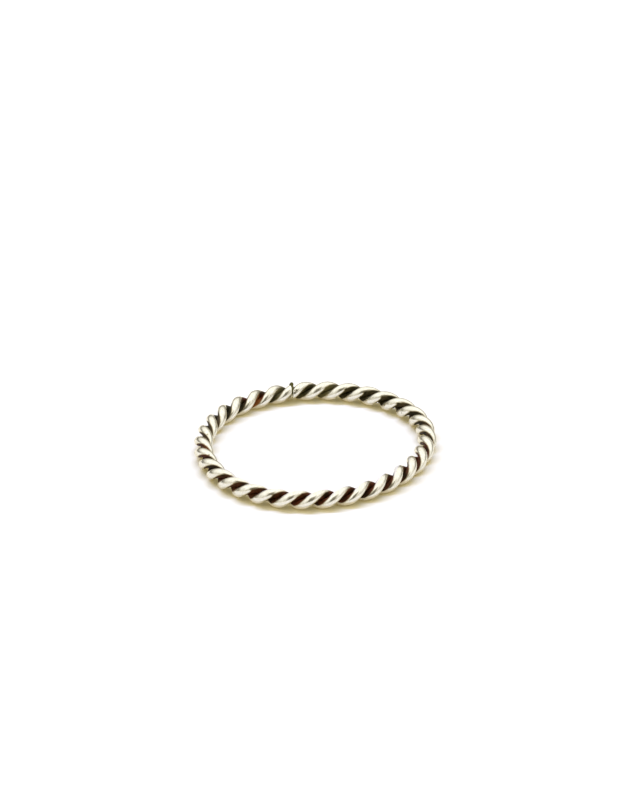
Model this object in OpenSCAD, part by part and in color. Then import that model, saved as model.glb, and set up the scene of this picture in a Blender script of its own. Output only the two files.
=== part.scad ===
// Rope twist ring: two round silver wires twisted together, bent round to a
// circle and closed by one soldered seam. It is one piece of soldered metal.
// Shaping by hand has left it a little out of round.
// It lies flat, as it rests by itself. Z is up, and the origin is in the middle
// of the finger hole, on the surface that the ring lies on. Millimetres.

/* [Ring] */
// Inside diameter, between the crests of the twist
inner_d = 17.3; // [14:0.1:22]
// Direction of the seam from the middle of the ring, anticlockwise from +X
seam_angle = 101; // [0:1:359]

/* [Wires] */
// Diameter of each of the two wires
wire_d = 0.8; // [0.6:0.02:1.2]
// Length along the ring of one full turn of a wire
pitch = 3.79; // [2.8:0.01:6]
// Direction of the twist
lay = "left"; // [left, right]
// Width of the solder drawn in between the wires where they touch
web_w = 0.2; // [0.1:0.02:0.4]

/* [Seam] */
// Thickness of the solder between the cut ends of the wires
seam_w = 0.12; // [0.08:0.02:0.4]
// Diameter of that solder, which is sunk between the crests
seam_d = 1.16; // [0.9:0.02:1.5]
// Tilt of the pair of wires at the seam, from level
seam_tilt = 117; // [0:1:180]

/* [Hidden] */

// How far hand twisting runs ahead of an even twist: half waves round the
// ring, and the most that each one adds, in degrees.
DRIFT = [[1, 9], [2, 3], [3, 9], [4, 7], [5, 7]];
DRIFT_WAVES = 0;
DRIFT_DEG = 1;

// How far the ring is out of round: waves round the ring, the share of the
// middle radius that each one adds at its crests, and the direction of a crest.
BULGE = [[2, 0.006, 102], [3, 0.013, 15]];
BULGE_WAVES = 0;
BULGE_SHARE = 1;
BULGE_CREST = 2;

// Stations along the wires, stations in the solder, and points round a wire
STATIONS = 221;
SEAM_STATIONS = 2;
WIRE_POINTS = 13;

wire_r = wire_d / 2;
mid_r = inner_d / 2 + wire_d;
mid_length = 2 * PI * mid_r;
turns = mid_length / pitch;
lay_sign = lay == "left" ? 1 : -1;

// A wire leans by this angle, so a cut square across the ring shows it as an
// ellipse, longer round the twist than it is thick.
lean = atan(PI * wire_d / pitch);
wire_b = wire_r / cos(lean);
// Angle on the ellipse at which the web leaves the wire
web_angle = asin(web_w / 2 / wire_b);

// The arc that the solder takes up
seam_arc = 360 * seam_w / mid_length;

// Sum of the drift waves at a share of the way round, from seam to seam
function drift(share) =
    [for (wave = DRIFT) wave[DRIFT_DEG] * sin(180 * wave[DRIFT_WAVES] * share)]
    * [for (wave = DRIFT) 1];

// Tilt of the pair of wires at a share of the way round
function tilt(share) = lay_sign * (seam_tilt + 360 * turns * share + drift(share));

// Share that the bulges add to the middle radius in a direction
function bulge(theta) =
    [for (wave = BULGE) wave[BULGE_SHARE] * cos(wave[BULGE_WAVES] * (theta - wave[BULGE_CREST]))]
    * [for (wave = BULGE) 1];

// Middle of the twist in a direction
function middle(theta) = mid_r * (1 + bulge(theta)) * [cos(theta), sin(theta)];

// Middle of the box round that line, which the origin is moved to
MIDDLES = [for (k = [1 : STATIONS]) middle(360 * k / STATIONS)];
function halfway(places) = (min(places) + max(places)) / 2;
box_middle = [halfway([for (p = MIDDLES) p.x]), halfway([for (p = MIDDLES) p.y])];

// One wire in the cut, as an ellipse that touches the middle of the twist and
// is open where the web joins it. Side is 1 or -1.
function wire_section(side) = [
    for (i = [0 : WIRE_POINTS - 1])
    let (
        reach = 180 - web_angle,
        t = -reach + 2 * reach * i / (WIRE_POINTS - 1)
    )
    side * [wire_r * (1 + cos(t)), wire_b * sin(t)]
];

// Both wires with the web between them, anticlockwise
SECTION = concat(wire_section(1), wire_section(-1));
RING_POINTS = len(SECTION);

// The same number of points on the solder, which is round
SEAM_SECTION = [for (p = SECTION) p * seam_d / 2 / norm(p)];

// A cut turned by a tilt and put in place. Its own x points away from the
// middle of the ring, and its own y points up.
function station(section, theta, turn) = [
    for (p = section)
    let (
        out = p.x * cos(turn) - p.y * sin(turn),
        up = p.x * sin(turn) + p.y * cos(turn),
        place = middle(theta) + out * [cos(theta), sin(theta)] - box_middle
    )
    [place.x, place.y, wire_d + up]
];

// Stations along the twist, from one side of the seam round to the other
function wire_stations() = [
    for (k = [0 : STATIONS - 1])
    let (share = k / (STATIONS - 1))
    station(SECTION, seam_angle + seam_arc / 2 + (360 - seam_arc) * share, tilt(share))
];

// The cut ends don't match: the last is turned from the first by what is left
// over after whole half turns. The solder takes up the difference.
end_turn = tilt(1);
half_turns = round((end_turn - tilt(0)) / 180);
start_turn = tilt(0) + 180 * half_turns;

// Stations in the solder, from the last cut end on to the first
function seam_stations() = [
    for (k = [1 : SEAM_STATIONS])
    let (share = k / (SEAM_STATIONS + 1))
    station(
        SEAM_SECTION,
        seam_angle + seam_arc * (share - 1 / 2),
        end_turn + (start_turn - end_turn) * share
    )
];

// Closed skin round the stations. The last station meets the first after
// some half turns, so an odd number of them brings each wire to the other.
module skin(stations) {
    count = len(stations);
    shift = abs(half_turns) % 2 * WIRE_POINTS;
    polyhedron(
        points = [for (ring = stations) each ring],
        faces = [
            for (k = [0 : count - 1], i = [0 : RING_POINTS - 1])
            let (
                j = (i + 1) % RING_POINTS,
                last = k == count - 1,
                next = last ? 0 : (k + 1) * RING_POINTS,
                step = last ? shift : 0,
                a = k * RING_POINTS + i,
                b = k * RING_POINTS + j,
                c = next + (j + step) % RING_POINTS,
                d = next + (i + step) % RING_POINTS
            )
            each lay_sign > 0 ? [[a, b, d], [b, c, d]] : [[a, b, c], [a, c, d]]
        ],
        convexity = 10
    );
}

// The whole ring
module twisted_band() {
    color("silver") skin(concat(wire_stations(), seam_stations()));
}

twisted_band();
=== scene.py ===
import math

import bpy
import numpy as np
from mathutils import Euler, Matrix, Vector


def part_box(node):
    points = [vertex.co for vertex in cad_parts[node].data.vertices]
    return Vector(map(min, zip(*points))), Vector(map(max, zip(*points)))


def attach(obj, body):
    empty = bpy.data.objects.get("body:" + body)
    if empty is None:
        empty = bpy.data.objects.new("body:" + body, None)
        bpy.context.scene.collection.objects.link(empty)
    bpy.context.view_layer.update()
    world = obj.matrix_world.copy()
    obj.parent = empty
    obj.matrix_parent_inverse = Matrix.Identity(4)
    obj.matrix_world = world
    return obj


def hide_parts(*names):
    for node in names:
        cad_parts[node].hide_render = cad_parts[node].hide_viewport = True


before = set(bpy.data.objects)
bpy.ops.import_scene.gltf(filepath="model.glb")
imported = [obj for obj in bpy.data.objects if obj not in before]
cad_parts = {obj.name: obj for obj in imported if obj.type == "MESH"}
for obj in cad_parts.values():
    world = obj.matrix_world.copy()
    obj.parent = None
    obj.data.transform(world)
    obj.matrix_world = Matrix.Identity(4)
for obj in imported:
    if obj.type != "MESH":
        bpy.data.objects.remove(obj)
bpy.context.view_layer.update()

# The looks of a rope twist ring: two round silver wires twisted together, with
# polished crests, darkened grooves and one soldered seam, lying on a pale floor.
# Sizes are in metres and angles in radians, unless a name or a comment says otherwise.


def rgb(red, green, blue):
    """A colour given as the eye reads it, 0 to 255, in the linear values that a shader takes."""
    part = np.array([red, green, blue]) / 255
    linear = np.where(part <= 0.04045, part / 12.92, ((part + 0.055) / 1.055) ** 2.4)
    return (*linear.tolist(), 1)


MM = 0.001

# The ring
LOW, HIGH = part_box("twisted_band")
WIRE_D = (HIGH.z - LOW.z) / 2
WIRE_R = WIRE_D / 2
INNER_D = 17.3 * MM
MID_R = INNER_D / 2 + WIRE_D
MID_LENGTH = 2 * math.pi * MID_R

# The twist: the length of a full turn of a wire, the number of turns, the lean of the
# wires, and half the length of the ellipse that a cut square across the ring shows
PITCH = 3.79 * MM
TURNS = MID_LENGTH / PITCH
LEAN = math.atan(math.pi * WIRE_D / PITCH)
WIRE_B = WIRE_R / math.cos(LEAN)

# How far hand twisting runs ahead of an even twist: half waves round the ring,
# and the most degrees that each one adds
DRIFT = ((1, 9), (2, 3), (3, 9), (4, 7), (5, 7))

# How far the ring is out of round: waves round the ring, the share of the
# middle radius that each one adds at its crests, and the direction of a crest
BULGE = ((2, 0.006, math.radians(102)), (3, 0.013, math.radians(15)))

# The solid's stations round the ring, which the middle of its box is worked out from
BOX_STATIONS = 221

# The seam: its direction, the tilt of the pair of wires there, and the room it takes
SEAM_ANGLE = math.radians(101)
SEAM_TILT = math.radians(117)
SEAM_W = 0.12 * MM
SEAM_ARC = SEAM_W / MID_R

# How far the cut ends lean back, as a share of their height, and how far along the
# wires that fades
SEAM_LEAN, SEAM_LEAN_REACH = 0.1, 0.6 * MM

# How finely the wires are drawn, and the filed edges of their ends
ROWS, ROUND = 1500, 40
END_ROWS = 5
END_FILED = 0.03 * MM

# The solder: its radius in the grooves, how far it stands proud of the wires, half its
# thickness as an angle round the ring, the share of its radius that its rounded edge
# takes, and how finely it is drawn
SOLDER_R = 0.56 * MM
SOLDER_PROUD = 0.01 * MM
SOLDER_HALF = 0.8 * SEAM_ARC
SOLDER_CROWN = 0.03
SOLDER_ROWS, SOLDER_ROUND = 13, 120

# The ripples of its edge: how high, then waves round the edge and where each one starts
RIPPLE_HIGH = 0.008 * MM
RIPPLES = ((5, 0), (13, 1))

# The nub on top of it: direction and half width round the twist in degrees, height, and
# how much it adds to half the solder's thickness
NUB_DEG, NUB_HALF_DEG = 90, 13
NUB_HIGH, NUB_THICKER = 0.24 * MM, 0.8 * SEAM_ARC

# The solder has run along the wires from the seam this far, and keeps them clean: there
# the tarnish begins deeper in the groove, by this share of a wire's diameter
CLEAN_REACH, CLEANER = 0.35 * MM, 0.25

# Dark nicks in the crests: place and half width in millimetres
NICKS = (
    (-1.57, 8.81, 1.29, 0.08),
    (-1.42, 8.82, 1.30, 0.10),
    (5.11, 7.03, 1.16, 0.06),
    (5.37, 6.90, 1.24, 0.05),
    (6.07, 6.22, 0.83, 0.07),
    (7.44, 4.46, 0.92, 0.06),
    (8.10, 3.07, 0.86, 0.05),
    (-3.62, 8.21, 1.19, 0.07),
    (-5.18, 7.39, 1.21, 0.06),
    (-7.57, 4.80, 1.19, 0.06),
    (-8.35, 3.50, 1.40, 0.05),
    (-9.02, 1.41, 1.38, 0.04),
    (-8.87, -2.24, 1.39, 0.04),
)
NICK_DEPTH = 0.025 * MM

# Marks on the wires are placed by spans, each a middle and a half width in degrees. A
# span is measured round the ring from +X, round the twist from straight outwards, or
# round a wire from the side away from the middle of the twist.

# The share of rust in the tarnish all round, and how much more it is in front than at
# the sides. Then the rusty patches, and the dusty grey ones below 0: span round the
# ring, and how strong.
RUST, RUST_IN_FRONT = 0.42, 0.36
RUST_PATCHES = (
    ((122, 5), 1.8),
    ((186, 8), 0.9),
    ((340, 8), 0.5),
    ((83, 5), -1.1),
    ((96, 4), -0.5),
    ((108, 4), -0.8),
)

# Where the tarnish reaches further out of the grooves, or less far: span round the
# ring, and how much further as a share of a wire's diameter
SPREADS = (((55, 34), 0.03), ((112, 16), -0.02), ((235, 20), 0.01), ((340, 25), -0.015))

# Smears of tarnish that reach up a wire from the groove, and dark smears of painted
# shade: the first two rows are painted reflections of the dark shape on the camera's side,
# and the last is painted shade low on the wires at the back, where the floor's shadow falls.
# Below 0 the places low down that are worn bare. Columns: spans round the ring, round the
# twist and round the wire, and how much further the tarnish and painted shade reach, as the
# same share
SMEARS_AND_PAINTED_SHADE = (
    # Painted reflection of the dark shape on the camera's side, laid on as a tarnish smear
    ((52, 30), (127, 11), (90, 60), 0.17),
    # Painted reflection of the dark shape on the camera's side, laid on as a tarnish smear
    ((243, 15), (52, 11), (270, 60), 0.12),
    ((255, 75), (82, 14), (180, 110), 0.06),
    ((75, 75), (98, 14), (180, 110), 0.05),
    ((250, 45), (-74, 14), (112, 34), -0.8),
    ((36, 20), (-110, 14), (240, 34), -0.8),
    # Painted shade low on the wires at the back, where the floor's shadow falls, laid on as
    # tarnish
    ((90, 34), (-106, 18), (255, 34), 0.12),
)

# The dull tops in front: spans round the ring and of the direction that the skin
# faces, from straight outwards, and how dull
DULL_TOP = ((268, 60), (115, 30), 0.8)

# The heights between which tarnish gives way to silver, and those between which the
# silver's pale brown fringe gives way to clean silver, from the middle of the twist as
# shares of a wire's diameter. Then how far the edge strays, in clouds and in crumbs,
# and how much lower a nick counts.
TARNISH_EDGE = (0.66, 0.77)
FRINGE_EDGE = (0.71, 0.82)
RAGGED, CRUMBLED, NICK_LOWER = 0.05, 0.02, 0.5

# The dullness between which polished silver turns dull, and the heights between which
# the solder turns pitted, from 0 at the foot of the seam to 1 on top, with how far that
# edge strays
DULL_EDGE = (0.2, 0.55)
PIT_EDGE, PIT_RAGGED = (0.35, 0.6), 0.3

# The clouds that the finishes are drawn with: how many to a millimetre, and the detail
# in them. An edge is where the clouds go from one colour to the other. Lines are clouds
# drawn out along the wire.
RAGGED_CLOUDS = (5.0, 4.0)
CRUMB_CLOUDS = (22.0, 3.0)
TARNISH_CLOUDS, TARNISH_CLOUDS_EDGE = (1.6, 4.0), (0.35, 0.65)
SILVER_CLOUDS, SILVER_CLOUDS_EDGE = (5.0, 3.0), (0.3, 0.7)
LINE_CLOUDS, LINE_DRAWN_OUT = (30.0, 5.0), (1, 1, 0.06)
SCUFF_CLOUDS = (9.0, 5.0)
CRUST_CLOUDS = (14.0, 6.0)
SOLDER_CLOUDS = (12.0, 5.0)

# The colours of tarnish, rust and dust, and the shares of rust between which it looks fresh
TARNISH_BLACK, TARNISH_OLIVE = rgb(34, 31, 11), rgb(70, 62, 37)
RUST_BLACK, RUST_RED = rgb(36, 19, 4), rgb(82, 35, 13)
RUST_FRESH, DUST_GREY = rgb(132, 80, 36), rgb(98, 90, 54)
RUST_FRESH_EDGE = (1, 1.8)

# The colours of silver, its tint where it is seen at a flat angle, and the solder's
SILVER_FRINGE, SILVER_DULL = rgb(176, 162, 122), rgb(225, 215, 188)
SILVER_CLOUDED, SILVER_CLEAR = rgb(218, 215, 201), rgb(236, 233, 222)
SILVER_TINT = (1, 0.95, 0.78, 1)
SOLDER_BRIGHT = rgb(232, 226, 200)
PIT_BLACK, PIT_OLIVE = rgb(40, 40, 14), rgb(104, 96, 46)

# How rough polished silver is, and what lines and scuffs, tarnish and dullness add. How
# metallic it is, and what dullness takes away. The same for the solder and its pits.
POLISHED_ROUGH, MARKS_ROUGHER, TARNISH_ROUGHER, DULL_ROUGHER = 0.12, 0.1, 0.3, 0.5
SILVER_METAL, DULL_LESS_METAL = 0.97, 0.8
SOLDER_ROUGH, PIT_ROUGHER, SOLDER_METAL = 0.25, 0.35, 0.95
METAL_SPECULAR = 0.1

# How high bumps are at full strength, how strong they are on silver and on solder, and
# what lines, scuffs and crust put into those of the silver
BUMP_HIGH = 0.02 * MM
SILVER_BUMPS, SOLDER_BUMPS = 0.12, 0.3
LINE_RELIEF, SCUFF_RELIEF, CRUST_RELIEF = 0.6, 0.5, 3

# The flat map of a wire's skin: the number of strips that it is cut into, the margins at the
# strips' ends and sides as shares of the map's width and a strip's height, and where across
# an end margin the pole and the rim of the end's fan lie
MAP_NAME = "OFBake"
MAP_STRIPS = 5
MAP_END, MAP_GAP = 0.01, 0.02
MAP_POLE, MAP_RIM = 0.2 * MAP_END, 0.8 * MAP_END

# The photograph's frame in pixels, the middle of the ring in it and the focal length,
# then how the camera stands to the ring
PHOTO_W, PHOTO_H = 626, 800
RING_PX = (314.2, 442.9)
FOCAL_PX = 3376
CAMERA_UP_DEG = 28.63
CAMERA_ROLL_DEG = -2.65
CAMERA_AWAY = 30 * MID_R
SENSOR_MM = 36
CLIP_NEAR, CLIP_FAR = 0.01, 10

# The light: a bright sky above walls that are dim near the floor, with the heights
# where it begins and where it is full, and a brighter part overhead. Behind the ring
# the walls are dimmer and reach higher. Heights and reaches are shares of a unit
# direction.
SKY, SKY_EDGE, SKY_COLOUR = 1.02, (0.02, 0.4), (1, 0.985, 0.93, 1)
SKY_TOP, SKY_TOP_EDGE = 0.42, (0.35, 0.85)
WALL, WALL_COLOUR = 0.75, (1, 0.92, 0.72, 1)
WALL_BACK_LESS, WALL_BACK_HIGHER, WALL_BACK_EDGE = 0.55, 0.12, (-0.1, 0.3)

# The dark upright shape on the camera's side: how dark it is, from where it begins to
# where it is full towards the camera, and from where it is full to where it is gone
# sideways and upwards
DARK_SHAPE, DARK_SHAPE_COLOUR = 0.84, (1, 0.9, 0.62, 1)
DARK_SHAPE_NEAR = (0.0, 0.5)
DARK_SHAPE_SIDES, DARK_SHAPE_TOP = (0.26, 0.44), (0.74, 0.92)

# The long lamp overhead: its length, width, height and power in watts, then how far it
# is tipped from straight overhead, and its colour
LAMP_LONG, LAMP_WIDE, LAMP_HIGH, LAMP_WATTS = 1.2, 0.05, 0.8, 6.8
LAMP_TURN_DEG, LAMP_COLOUR = (-18, -6, 0), (0.63, 0.82, 1.97)

# The floor, and the light that it gives off
FLOOR_SIDE = 3.0
FLOOR_COLOUR, FLOOR_ROUGH, FLOOR_SPECULAR = (0.68, 0.63, 0.45, 1), 0.8, 0.2
FLOOR_GLOW_COLOUR, FLOOR_GLOW = (1, 0.8, 0.24, 1), 0.09


def away(angle, middle_deg):
    """The angle from a middle, the shorter way round."""
    return np.angle(np.exp(1j * (angle - math.radians(middle_deg))))


def bell(angle, span):
    """A bell curve over a span: e to the power of minus the square of the angle from its middle
    over its half width."""
    middle_deg, half_deg = span
    return np.exp(-((away(angle, middle_deg) / math.radians(half_deg)) ** 2))


def tilt(share):
    """Tilt of the pair of wires: an even twist from seam to seam plus the sum of the drift
    waves."""
    drift = sum(math.radians(most) * np.sin(math.pi * waves * share) for waves, most in DRIFT)
    return SEAM_TILT + 2 * math.pi * TURNS * share + drift


def middle(theta):
    """Middle of the twist in a direction: the middle radius plus the sum of the bulge waves."""
    bulge = sum(share * np.cos(waves * (theta - crest)) for waves, share, crest in BULGE)
    reach = MID_R * (1 + bulge)
    return np.stack([reach * np.cos(theta), reach * np.sin(theta)], -1)


def box_middle():
    """Middle of the box round that line, which the origin is moved to."""
    places = middle(np.arange(1, BOX_STATIONS + 1) / BOX_STATIONS * 2 * math.pi)
    return (places.min(0) + places.max(0)) / 2


BOX_MIDDLE = box_middle()


def around(out, up, theta):
    """Points at a distance out from the middle of the twist and up from it, carried round the
    ring to theta."""
    out, up, theta = np.broadcast_arrays(out, up, theta)
    outwards = np.stack([np.cos(theta), np.sin(theta)], -1)
    flat = middle(theta) + out[..., None] * outwards - BOX_MIDDLE
    return np.concatenate([flat, WIRE_D + up[..., None]], -1)


def leaned(theta, up, from_seam):
    """Directions moved so that the cut ends lean: each goes back by a share of its height over
    the middle radius, times a bell curve of the distance from the seam."""
    return theta - SEAM_LEAN * up / MID_R * np.exp(-((from_seam / SEAM_LEAN_REACH) ** 2))


def mesh_piece(name, points, faces, material, attributes, flat_map=None):
    """A smooth mesh object from point and face arrays, with named point attributes and, if
    given, the places of its faces' corners on a flat map."""
    mesh = bpy.data.meshes.new(name)
    mesh.from_pydata(points, [], faces)
    mesh.polygons.foreach_set("use_smooth", np.ones(len(mesh.polygons), bool))
    for key, values in attributes.items():
        kind, slot = ("FLOAT", "value") if values.ndim == 1 else ("FLOAT_VECTOR", "vector")
        attribute = mesh.attributes.new(key, kind, "POINT")
        attribute.data.foreach_set(slot, values.astype(np.float32).ravel())
    if flat_map is not None:
        corners = mesh.uv_layers.new(name=MAP_NAME).uv
        corners.foreach_set("vector", flat_map.astype(np.float32).ravel())
    mesh.materials.append(material)
    piece = bpy.data.objects.new(name, mesh)
    bpy.context.scene.collection.objects.link(piece)
    return piece


def tube_faces(rows, sides):
    """Quads between the rows of a tube, and a fan of triangles to a pole at each end. The two
    poles come after the rows' points."""
    k, i = np.meshgrid(np.arange(rows - 1), np.arange(sides), indexing="ij")
    j = (i + 1) % sides
    near, far = k * sides, (k + 1) * sides
    quads = np.stack([near + i, far + i, far + j, near + j], -1)
    ring = np.arange(sides)
    after = (ring + 1) % sides
    last = (rows - 1) * sides
    first_pole, last_pole = np.full(sides, rows * sides), np.full(sides, rows * sides + 1)
    first_fan = np.stack([first_pole, ring, after], -1)
    last_fan = np.stack([last_pole, last + after, last + ring], -1)
    return [*quads.reshape(-1, 4).tolist(), *first_fan.tolist(), *last_fan.tolist()]


def strip_map(along, sides):
    """The corners of a tube's faces on a flat map, in the faces' order. The skin is cut into
    strips of equal length, laid one above another: across goes by the length along the tube
    since the strip's cut, and up goes by the place round it. The fans at the two ends lie in
    the end margins."""
    rows = len(along)
    cuts = np.linspace(0, rows - 1, MAP_STRIPS + 1).astype(int)
    reach = np.diff(along[cuts]).max()
    k, i = np.meshgrid(np.arange(rows - 1), np.arange(sides), indexing="ij")
    strip = np.searchsorted(cuts, k, side="right") - 1

    def across(row):
        return MAP_END + (1 - 2 * MAP_END) * (along[row] - along[cuts[strip]]) / reach

    def up(on_strip, side):
        return (on_strip + MAP_GAP + (1 - 2 * MAP_GAP) * side / sides) / MAP_STRIPS

    near, far, low, high = across(k), across(k + 1), up(strip, i), up(strip, i + 1)
    quads = np.stack([near, low, far, low, far, high, near, high], -1)
    ring, pole, rim = np.arange(sides), np.full(sides, MAP_POLE), np.full(sides, MAP_RIM)
    low, high, mid = up(0, ring), up(0, ring + 1), up(0, np.full(sides, sides / 2))
    first_fan = np.stack([pole, mid, rim, low, rim, high], -1)
    rise = (MAP_STRIPS - 1) / MAP_STRIPS
    last_fan = np.stack([1 - pole, mid + rise, 1 - rim, high + rise, 1 - rim, low + rise], -1)
    return np.concatenate([part.reshape(-1, 2) for part in (quads, first_fan, last_fan)])


def rust(theta):
    """Share of rust in the tarnish at a direction round the ring, or of grey dust where it is
    below 0: the share all round, less what the front has more times the sine of the direction,
    plus a bell curve for each patch."""
    patches = sum(most * bell(theta, span) for span, most in RUST_PATCHES)
    return np.clip(RUST - RUST_IN_FRONT * np.sin(theta) + patches, -1, 2)


def spread(theta):
    """How much further than elsewhere the tarnish reaches at a direction: a sum of bell
    curves."""
    return sum(most * bell(theta, span) for span, most in SPREADS)


def smear_and_painted_shade(theta, beta, t):
    """How much further the dark of the grooves reaches by the tarnish smears and by the painted
    shade and painted reflections laid on as smears: for each, a bell curve in the direction
    round the ring, times one in the direction round the twist, times one in the place round the
    wire."""
    return sum(
        most * bell(theta, ring_span) * bell(beta, twist_span) * bell(t, wire_span)
        for ring_span, twist_span, wire_span, most in SMEARS_AND_PAINTED_SHADE
    )


def dull_top(theta, facing):
    """How dull the tops in front are: a bell curve in the direction round the ring, times one
    in the direction that the skin faces."""
    ring_span, facing_span, most = DULL_TOP
    return most * bell(theta, ring_span) * bell(facing, facing_span)


def nicks(points):
    """1 in the middle of each nick, falling away round it by a bell curve of the distance."""
    depth = np.zeros(len(points))
    for x, y, z, size in NICKS:
        distance = np.linalg.norm(points / MM - (x, y, z), axis=1)
        depth = np.maximum(depth, np.exp(-((distance / size) ** 2)))
    return depth


def wire(name, half_turn, material):
    """One wire: a circle of the wire's radius carried along a helix round the middle of the
    twist. Cut square across the ring it is an ellipse, longer round the twist by one over the
    cosine of its lean. The ends lean back with height, and their edges are filed round by a
    quarter circle. A nick is pressed in towards the middle of the wire, by its depth times its
    bell curve. The attributes say where the finish changes."""
    bend = np.linspace(0, math.pi / 2, END_ROWS)
    filed = END_FILED * (1 - np.sin(bend))
    set_back = END_FILED * (1 - np.cos(bend))
    length = MID_LENGTH - SEAM_W
    between = np.linspace(END_FILED, length - END_FILED, ROWS)[1:-1]
    along = np.concatenate([set_back, between, length - set_back[::-1]])
    shrink = np.concatenate([filed, np.zeros(len(between)), filed[::-1]])[:, None]

    # One value for each row, as columns, against the places round the wire
    share = along[:, None] / length
    theta = SEAM_ANGLE + SEAM_ARC / 2 + along[:, None] / MID_R
    turn = tilt(share) + half_turn
    from_seam = np.minimum(along, length - along)[:, None]
    t = np.linspace(0, 2 * math.pi, ROUND, endpoint=False)

    thick = (WIRE_R - shrink) * np.cos(t)
    wide = (WIRE_B - shrink) * np.sin(t)
    out = (WIRE_R + thick) * np.cos(turn) - wide * np.sin(turn)
    up = (WIRE_R + thick) * np.sin(turn) + wide * np.cos(turn)
    skin = around(out, up, leaned(theta, up, from_seam))
    core_up = WIRE_R * np.sin(turn)
    core = around(WIRE_R * np.cos(turn), core_up, leaned(theta, core_up, from_seam))
    inwards = core - skin
    inwards /= np.linalg.norm(inwards, axis=-1, keepdims=True)

    # The skin's points row by row, then a pole in the middle of each end
    ends = [0, -1]
    points = np.concatenate([skin.reshape(-1, 3), core[ends, 0]])
    nick = nicks(points)
    points[:-2] += inwards.reshape(-1, 3) * nick[:-2, None] * NICK_DEPTH

    def with_poles(on_skin, on_poles):
        """Values for the skin's points, then one for each pole."""
        return np.append(np.broadcast_to(on_skin, skin.shape[:2]), on_poles)

    height = np.hypot(WIRE_R + thick, wide) / WIRE_D
    clean = CLEANER * np.exp(-((from_seam / CLEAN_REACH) ** 2))
    # The tarnish smears lower the crest, and so do painted shade and painted reflections of the
    # dark shape on the camera's side, laid on as more smears
    smeared_and_painted_shade = smear_and_painted_shade(theta, np.arctan2(up, out), t)
    crest = np.minimum(height + clean, 1) - spread(theta) - smeared_and_painted_shade
    crest_on_poles = WIRE_R / WIRE_D + CLEANER - spread(theta[ends, 0])
    facing = turn + np.arctan2(WIRE_R * np.sin(t), WIRE_B * np.cos(t))
    dull = np.maximum(-up / WIRE_D, dull_top(theta, facing))
    run = share * length / math.cos(LEAN)
    place = np.stack(np.broadcast_arrays(thick, wide, run), -1).reshape(-1, 3)
    place_on_poles = [[0, 0, run[0, 0]], [0, 0, run[-1, 0]]]
    attributes = {
        "crest": with_poles(crest, crest_on_poles),
        "place": np.concatenate([place, place_on_poles]) / MM,
        "rust": with_poles(rust(theta), rust(theta[ends, 0])),
        "nick": nick,
        "dull": with_poles(dull, [0, 0]),
    }
    faces = tube_faces(len(along), ROUND)
    return mesh_piece(name, points, faces, material, attributes, strip_map(along, ROUND))


def solder(name, material):
    """The solder between the cut ends: a disc that stands a little proud of the wires' own
    outline, which lies at a wire's diameter times the cosine of the angle from the tilt, and
    bridges the grooves between them. Two sines ripple its edge, which is rounded by a half
    circle. Its radius and thickness swell by a bell curve into a nub on top of the joint."""
    beta = np.linspace(0, 2 * math.pi, SOLDER_ROUND, endpoint=False)
    nub = bell(beta, (NUB_DEG, NUB_HALF_DEG))
    flush = WIRE_D * np.abs(np.cos(beta - SEAM_TILT)) + SOLDER_PROUD
    ripple = RIPPLE_HIGH * sum(np.sin(waves * beta + start) for waves, start in RIPPLES)
    edge = np.maximum(SOLDER_R, flush) + ripple
    half_thick = SOLDER_HALF + NUB_THICKER * nub
    across = np.sin(np.linspace(-math.pi / 2, math.pi / 2, SOLDER_ROWS))[:, None]
    crown = np.sqrt(1 - across**2)
    radius = edge * (1 - SOLDER_CROWN * (1 - crown)) + NUB_HIGH * nub * crown
    up = radius * np.sin(beta)
    skin = around(radius * np.cos(beta), up, leaned(SEAM_ANGLE + across * half_thick, up, 0))
    poles = around(0, 0, SEAM_ANGLE + np.array([-1, 1]) * SOLDER_HALF)
    points = np.concatenate([skin.reshape(-1, 3), poles])
    upper = 1 - np.abs(away(beta, NUB_DEG)) / math.pi
    pitted = np.append(np.broadcast_to(upper, radius.shape), [0.5, 0.5])
    faces = tube_faces(SOLDER_ROWS, SOLDER_ROUND)
    return mesh_piece(name, points, faces, material, {"pitted": pitted, "place": points / MM})


class Socket:
    """A node's output. Its arithmetic on values adds Math nodes, and works with numbers on
    either side."""

    def __init__(self, tree, out):
        self.tree, self.out = tree, out

    def math(self, operation, *others):
        values = dict(enumerate([self, *others]))
        return self.tree.add("ShaderNodeMath", {"operation": operation}, values)

    def __add__(self, other):
        return self.math("ADD", other)

    def __sub__(self, other):
        return self.math("SUBTRACT", other)

    def __mul__(self, other):
        return self.math("MULTIPLY", other)

    def __pow__(self, other):
        return self.math("POWER", other)

    def __rsub__(self, other):
        return (self * -1) + other

    __radd__ = __add__
    __rmul__ = __mul__


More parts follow.
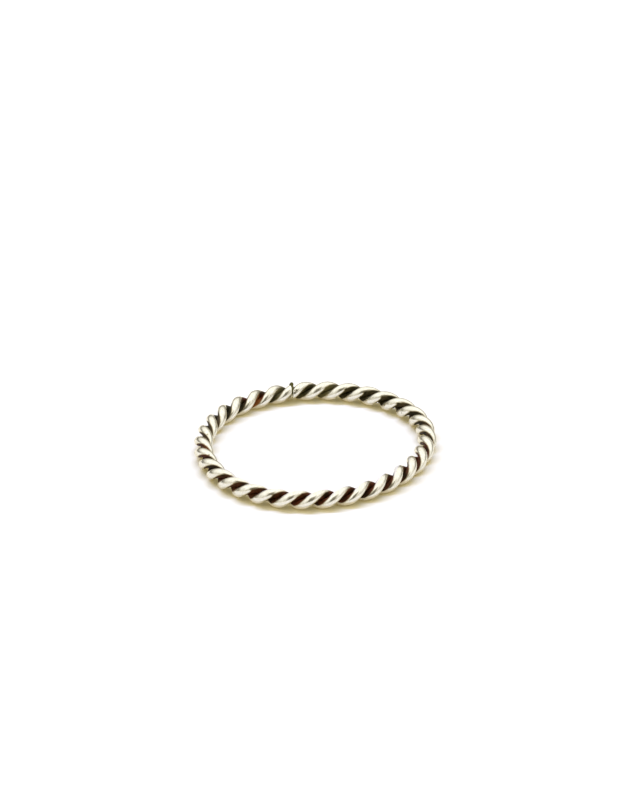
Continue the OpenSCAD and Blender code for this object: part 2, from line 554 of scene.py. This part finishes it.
class Tree:
    """A node tree with one method that adds any node, and short forms for the common ones."""

    def __init__(self, owner):
        owner.use_nodes = True
        self.nodes, self.links = owner.node_tree.nodes, owner.node_tree.links
        self.nodes.clear()

    def add(self, kind, settings=None, inputs=None, out=0):
        """A node of a kind, its settings first, then the values or links of its sockets. Gives
        one output."""
        node = self.nodes.new(kind)
        for key, value in (settings or {}).items():
            setattr(node, key, value)
        for key, value in (inputs or {}).items():
            if isinstance(value, Socket):
                self.links.new(value.out, node.inputs[key])
            else:
                node.inputs[key].default_value = value
        return Socket(self, node.outputs[out]) if len(node.outputs) else None

    def attribute(self, name, out="Fac"):
        """A point attribute of the mesh, as a value or as its Vector."""
        return self.add("ShaderNodeAttribute", {"attribute_name": name}, out=out)

    def smooth(self, value, low, high):
        """0 below low, 1 above high, and a smooth step between."""
        inputs = {"Value": value, "From Min": low, "From Max": high}
        return self.add("ShaderNodeMapRange", {"interpolation_type": "SMOOTHSTEP"}, inputs)

    def mix(self, share, first, second):
        """A colour that goes from the first to the second. The colour sockets are found by
        number, because the node has others of the same names."""
        inputs = {0: share, 6: first, 7: second}
        return self.add("ShaderNodeMix", {"data_type": "RGBA"}, inputs, out=2)

    def noise(self, vector, scale, detail):
        """Cloudy noise about 0.5, with so many clouds to a millimetre."""
        inputs = {"Vector": vector, "Scale": scale, "Detail": detail, "Roughness": 0.55}
        return self.add("ShaderNodeTexNoise", {}, inputs)

    def stretch(self, vector, by):
        """A vector with each of its parts multiplied."""
        return self.add("ShaderNodeVectorMath", {"operation": "MULTIPLY"}, {0: vector, 1: by})

    def bumps(self, height, strength):
        """The normal of a bumpy skin."""
        inputs = {"Strength": strength, "Distance": BUMP_HIGH, "Height": height}
        return self.add("ShaderNodeBump", {}, inputs)

    def skin(self, inputs):
        """The finish of the whole material, from its values and links."""
        finish = self.add("ShaderNodeBsdfPrincipled", {}, inputs)
        self.add("ShaderNodeOutputMaterial", {}, {"Surface": finish})


def silver_material():
    """Polished silver on the crests, duller and whiter where it has lost its polish, and black,
    olive, grey and rust brown tarnish in the grooves. The same dark colours also lay painted
    shade and painted reflections of the dark shape on the camera's side over some flanks. The
    attribute crest is the height on the wires, from the middle of the twist as a share of a
    wire's diameter, less what the tarnish reaches further and less where that painted shade is
    laid on. Place is millimetres through, across and along the wire, so that marks follow it.
    Rust is the share of rust in the tarnish, or of grey dust below 0, nick is 1 in a dark nick,
    and dull is how dull the silver is."""
    material = bpy.data.materials.new("oxidised_silver")
    tree = Tree(material)
    place = tree.attribute("place", out="Vector")
    rusted = tree.attribute("rust")

    ragged = (tree.noise(place, *RAGGED_CLOUDS) - 0.5) * RAGGED
    crumbs = (tree.noise(place, *CRUMB_CLOUDS) - 0.5) * CRUMBLED
    height = tree.attribute("crest") + ragged + crumbs - tree.attribute("nick") * NICK_LOWER
    bright = tree.smooth(height, *TARNISH_EDGE)
    fringe = tree.smooth(height, *FRINGE_EDGE)
    dulled = tree.smooth(tree.attribute("dull"), *DULL_EDGE) * bright

    patchy = tree.smooth(tree.noise(place, *TARNISH_CLOUDS), *TARNISH_CLOUDS_EDGE)
    black = tree.mix(patchy, TARNISH_BLACK, TARNISH_OLIVE)
    brown = tree.mix(patchy, RUST_BLACK, RUST_RED)
    dusty = tree.mix(tree.smooth(rusted * -1, 0, 1), black, DUST_GREY)
    rusty = tree.mix(tree.smooth(rusted, *RUST_FRESH_EDGE), brown, RUST_FRESH)
    # The dark colour of the grooves, which is also the colour of the painted shade and painted
    # reflections where the crest is lowered for them
    tarnish_and_painted_shade = tree.mix(tree.smooth(rusted, 0, 1), dusty, rusty)
    cloudy = tree.smooth(tree.noise(place, *SILVER_CLOUDS), *SILVER_CLOUDS_EDGE)
    polished = tree.mix(cloudy, SILVER_CLOUDED, SILVER_CLEAR)
    silver = tree.mix(fringe, SILVER_FRINGE, polished)

    lines = tree.noise(tree.stretch(place, LINE_DRAWN_OUT), *LINE_CLOUDS)
    scuffs = tree.noise(place, *SCUFF_CLOUDS)
    crust = (1 - bright) * tree.noise(place, *CRUST_CLOUDS)
    marked = POLISHED_ROUGH + lines * MARKS_ROUGHER + scuffs * MARKS_ROUGHER
    relief = lines * LINE_RELIEF + scuffs * SCUFF_RELIEF + crust * CRUST_RELIEF
    tree.skin(
        {
            "Base Color": tree.mix(dulled, tree.mix(bright, tarnish_and_painted_shade, silver), SILVER_DULL),
            "Roughness": marked + (1 - bright) * TARNISH_ROUGHER + dulled * DULL_ROUGHER,
            "Metallic": bright * SILVER_METAL - dulled * DULL_LESS_METAL,
            "Normal": tree.bumps(relief, SILVER_BUMPS),
            "Specular IOR Level": METAL_SPECULAR,
            "Specular Tint": SILVER_TINT,
        }
    )
    return material


def solder_material():
    """Silver solder, bright where the ring was polished and olive to black where the seam is
    pitted. The attribute pitted goes from 0 at the foot of the seam to 1 on top, and place is
    millimetres."""
    material = bpy.data.materials.new("seam_solder")
    tree = Tree(material)
    grain = tree.noise(tree.attribute("place", out="Vector"), *SOLDER_CLOUDS)
    pit = tree.smooth(tree.attribute("pitted") + (grain - 0.5) * PIT_RAGGED, *PIT_EDGE)
    tree.skin(
        {
            "Base Color": tree.mix(pit, SOLDER_BRIGHT, tree.mix(grain, PIT_BLACK, PIT_OLIVE)),
            "Roughness": SOLDER_ROUGH + pit * PIT_ROUGHER,
            "Metallic": SOLDER_METAL - pit * SOLDER_METAL,
            "Normal": tree.bumps(grain, SOLDER_BUMPS),
            "Specular IOR Level": METAL_SPECULAR,
        }
    )
    return material


def floor():
    """A plain pale floor: a square sheet, far wider than the ring, with a faint warm glow."""
    corners = np.array([[-1, -1, 0], [1, -1, 0], [1, 1, 0], [-1, 1, 0]]) * FLOOR_SIDE / 2
    material = bpy.data.materials.new("pale_floor")
    Tree(material).skin(
        {
            "Base Color": FLOOR_COLOUR,
            "Roughness": FLOOR_ROUGH,
            "Specular IOR Level": FLOOR_SPECULAR,
            "Emission Color": FLOOR_GLOW_COLOUR,
            "Emission Strength": FLOOR_GLOW,
        }
    )
    piece = mesh_piece("floor", corners, [[0, 1, 2, 3]], material, {})


def studio():
    """A sky that is brightest overhead, above dim warm walls, with a dark upright shape on the
    camera's side. A long thin lamp overhead throws shadows that are sharp across it and soft
    along it, and the silver doesn't mirror it."""
    world = bpy.data.worlds.new("studio")
    bpy.context.scene.world = world
    tree = Tree(world)
    look = tree.add("ShaderNodeTexCoord")
    parts = [tree.add("ShaderNodeSeparateXYZ", {}, {0: look}, out=n) for n in range(3)]
    side, ahead, height = parts

    behind = tree.smooth(ahead, *WALL_BACK_EDGE)
    sky = tree.smooth(height - behind * WALL_BACK_HIGHER, *SKY_EDGE)
    overhead = tree.smooth(height, *SKY_TOP_EDGE)
    wall = WALL - behind * WALL_BACK_LESS
    near = tree.smooth(ahead * -1, *DARK_SHAPE_NEAR)
    upright = (1 - tree.smooth((side * side) ** 0.5, *DARK_SHAPE_SIDES)) * near
    upright = upright * (1 - tree.smooth(height, *DARK_SHAPE_TOP))
    light = wall * (1 - sky) + sky * SKY + overhead * SKY_TOP
    colour = tree.mix(upright, tree.mix(sky, WALL_COLOUR, SKY_COLOUR), DARK_SHAPE_COLOUR)
    inputs = {"Color": colour, "Strength": light * (1 - upright * DARK_SHAPE)}
    back = tree.add("ShaderNodeBackground", {}, inputs)
    tree.add("ShaderNodeOutputWorld", {}, {"Surface": back})

    data = bpy.data.lights.new("lamp", "AREA")
    data.shape = "RECTANGLE"
    data.size, data.size_y = LAMP_LONG, LAMP_WIDE
    data.energy, data.color = LAMP_WATTS, LAMP_COLOUR
    lamp = bpy.data.objects.new("lamp", data)
    turn = Euler([math.radians(angle) for angle in LAMP_TURN_DEG]).to_matrix().to_4x4()
    lamp.matrix_world = turn @ Matrix.Translation((0, 0, LAMP_HIGH))
    lamp.visible_glossy = False
    bpy.context.scene.collection.objects.link(lamp)


def turned(angle, first, second):
    """A turn by an angle in the plane of two of the three axes."""
    turn = np.eye(3)
    turn[first, first] = turn[second, second] = math.cos(angle)
    turn[first, second], turn[second, first] = math.sin(angle), -math.sin(angle)
    return turn


def camera():
    """The camera at the photograph's angle: it looks at the middle of the ring from its lift
    above the floor, and rolls. Then it pans and nods by the small angles that put the ring
    where the photograph has it. The sensor's width goes to the longer side of the frame."""
    lift = math.radians(CAMERA_UP_DEG)
    back = np.array([0, -math.cos(lift), math.sin(lift)])
    right = np.array([1.0, 0, 0])
    up = np.cross(right, -back)
    roll = turned(math.radians(CAMERA_ROLL_DEG), 0, 1)
    pan = turned(math.atan((RING_PX[0] - PHOTO_W / 2) / FOCAL_PX), 0, 2)
    nod = turned(math.atan((PHOTO_H / 2 - RING_PX[1]) / FOCAL_PX), 1, 2)
    x, y, z = nod @ pan @ roll @ np.stack([right, up, -back])
    place = back * CAMERA_AWAY + np.array([*-BOX_MIDDLE, WIRE_D])
    data = bpy.data.cameras.new("camera")
    data.sensor_width = SENSOR_MM
    data.lens = FOCAL_PX / PHOTO_H * SENSOR_MM
    data.clip_start, data.clip_end = CLIP_NEAR, CLIP_FAR
    eye = bpy.data.objects.new("camera", data)
    matrix = np.eye(4)
    matrix[:3] = np.stack([x, y, -z, place], -1)
    eye.matrix_world = Matrix(matrix.tolist())
    bpy.context.scene.collection.objects.link(eye)
    bpy.context.scene.camera = eye


camera()
studio()
floor()
bpy.context.scene.view_settings.view_transform = "Standard"

SILVER = silver_material()
PIECES = (
    wire("first_wire", 0.0, SILVER),
    wire("second_wire", math.pi, SILVER),
    solder("seam_solder", solder_material()),
)
for piece in PIECES:
    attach(piece, "root")
    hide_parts("twisted_band")
